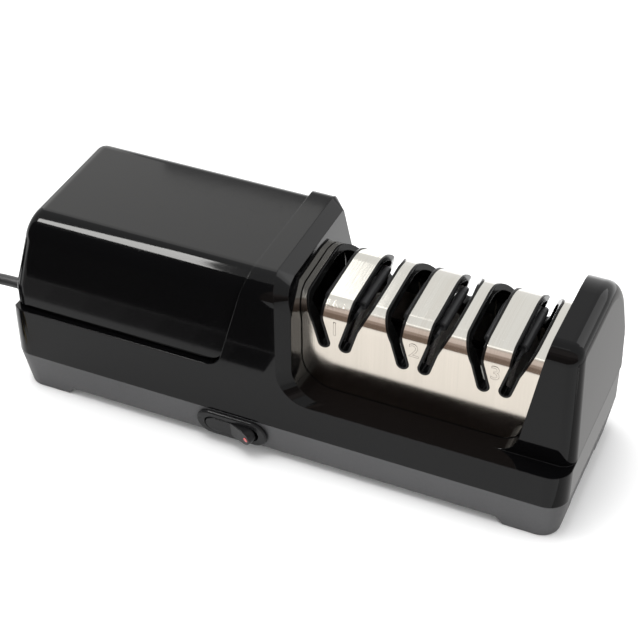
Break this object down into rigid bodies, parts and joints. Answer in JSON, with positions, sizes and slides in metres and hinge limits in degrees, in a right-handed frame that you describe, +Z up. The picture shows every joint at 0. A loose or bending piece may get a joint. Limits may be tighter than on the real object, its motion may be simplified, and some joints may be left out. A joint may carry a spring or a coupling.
{
  "type": "electric knife sharpener",
  "caption": "Electric bench knife sharpener: slanted blade slots over motor-driven abrasive discs, a rocker switch, a grey base on rubber pads and a mains cord.",
  "frame": {"origin": "on the worktop, in the middle of the machine's outline seen from above; the cord, its strain relief, coil and plug are left out of it", "axes": "+X along the machine towards the slots' end, -Y to the user's side with the switch, +Z up"},
  "size_m": [0.4115, 0.1288, 0.104],
  "materials": {
    "black_body": "satin black moulding",
    "cover_black": "fine satin black",
    "base_grey": "matte dark grey",
    "brushed_steel": "brushed along its length",
    "liner_black": "matte black",
    "bar_black": "satin black",
    "rubber_black": "matte rubber",
    "spring_steel": "bright wire",
    "zinc_steel": "zinc plated",
    "shaft_steel": "ground",
    "abrasive": "grit coated steel disc",
    "bronze": "sintered bronze",
    "core_steel": "laminated steel",
    "copper": "enamelled copper wire",
    "white_plastic": "nylon",
    "carbon": "carbon brush",
    "switch_black": "gloss black",
    "red_mark": "red inlay",
    "cord_black": "black cord sheath",
    "blade_brass": "brass blades"
  },
  "bodies": {
    "machine": {"base": "base_grey", "rubber_feet": "rubber_black", "housing": "black_body", "case_screws": "zinc_steel", "motor_cover": "cover_black", "cover_screws": "zinc_steel", "steel_cover": "brushed_steel", "hinge_pins": "shaft_steel", "arm_springs": "spring_steel", "wheel_bushes": "bronze", "field_stack": "core_steel", "field_coils": "copper", "motor_bushes": "bronze", "motor_bolts": "zinc_steel", "brush_holders": "bronze", "brushes": "carbon", "motor_cradle": "white_plastic", "mounting_screws": "zinc_steel", "switch_bezel": "switch_black", "switch_body": "switch_black", "switch_tabs": "zinc_steel", "lead_wires": "cord_black", "strain_relief": "cord_black", "mains_cord": "cord_black", "cord_coil": "cord_black", "plug": "cord_black", "plug_blades": "blade_brass", "bearing_block_inner": "white_plastic", "bearing_block_outer": "white_plastic", "motor_frame_left": "zinc_steel", "motor_frame_right": "zinc_steel", "liner_coarse": "liner_black", "liner_fine": "liner_black", "liner_polish": "liner_black"},
    "drive_train": {"wheel_shaft": "shaft_steel", "disc_springs": "spring_steel", "spacer_sleeves": "white_plastic", "shaft_clips": "spring_steel", "armature": "core_steel", "armature_windings": "copper", "commutator": "copper", "motor_shaft": "shaft_steel", "fan": "white_plastic", "coupling": "rubber_black", "disc_coarse_left": "abrasive", "disc_coarse_right": "abrasive", "disc_fine_left": "abrasive", "disc_fine_right": "abrasive", "disc_polish_left": "abrasive", "disc_polish_right": "abrasive"},
    "rocker": {"rocker": "switch_black", "rocker_dot": "red_mark"},
    "guide_arm_coarse_left": {"guide_arm_coarse_left": "bar_black"},
    "guide_arm_coarse_right": {"guide_arm_coarse_right": "bar_black"},
    "guide_arm_fine_left": {"guide_arm_fine_left": "bar_black"},
    "guide_arm_fine_right": {"guide_arm_fine_right": "bar_black"},
    "guide_arm_polish_left": {"guide_arm_polish_left": "bar_black"},
    "guide_arm_polish_right": {"guide_arm_polish_right": "bar_black"}
  },
  "joints": [
    {"name": "drive_spin", "type": "hinge", "parent": "machine", "child": "drive_train", "pos_m": [0, 0.00276, 0.042], "axis": [1, 0, 0], "continuous": true},
    {"name": "rocker_tilt", "type": "hinge", "parent": "machine", "child": "rocker", "pos_m": [-0.0213, -0.04205, 0.01365], "axis": [0, -0.1521, 0.9884], "range_deg": [0, 20.3]},
    {"name": "guide_swing_coarse_left", "type": "hinge", "parent": "machine", "child": "guide_arm_coarse_left", "pos_m": [0.0203, 0.00276, 0.0732], "axis": [0, 1, 0], "range_deg": [0, 8], "stiffness_Nm_per_rad": 0.08, "springref_deg": -2.86},
    {"name": "guide_swing_coarse_right", "type": "hinge", "parent": "machine", "child": "guide_arm_coarse_right", "pos_m": [0.0267, 0.00276, 0.0732], "axis": [0, -1, 0], "range_deg": [0, 8], "stiffness_Nm_per_rad": 0.08, "springref_deg": -2.86},
    {"name": "guide_swing_fine_left", "type": "hinge", "parent": "machine", "child": "guide_arm_fine_left", "pos_m": [0.0583, 0.00276, 0.0732], "axis": [0, 1, 0], "range_deg": [0, 8], "stiffness_Nm_per_rad": 0.08, "springref_deg": -2.86},
    {"name": "guide_swing_fine_right", "type": "hinge", "parent": "machine", "child": "guide_arm_fine_right", "pos_m": [0.0647, 0.00276, 0.0732], "axis": [0, -1, 0], "range_deg": [0, 8], "stiffness_Nm_per_rad": 0.08, "springref_deg": -2.86},
    {"name": "guide_swing_polish_left", "type": "hinge", "parent": "machine", "child": "guide_arm_polish_left", "pos_m": [0.0961, 0.00276, 0.0732], "axis": [0, 1, 0], "range_deg": [0, 8], "stiffness_Nm_per_rad": 0.08, "springref_deg": -2.86},
    {"name": "guide_swing_polish_right", "type": "hinge", "parent": "machine", "child": "guide_arm_polish_right", "pos_m": [0.1025, 0.00276, 0.0732], "axis": [0, -1, 0], "range_deg": [0, 8], "stiffness_Nm_per_rad": 0.08, "springref_deg": -2.86}
  ]
}
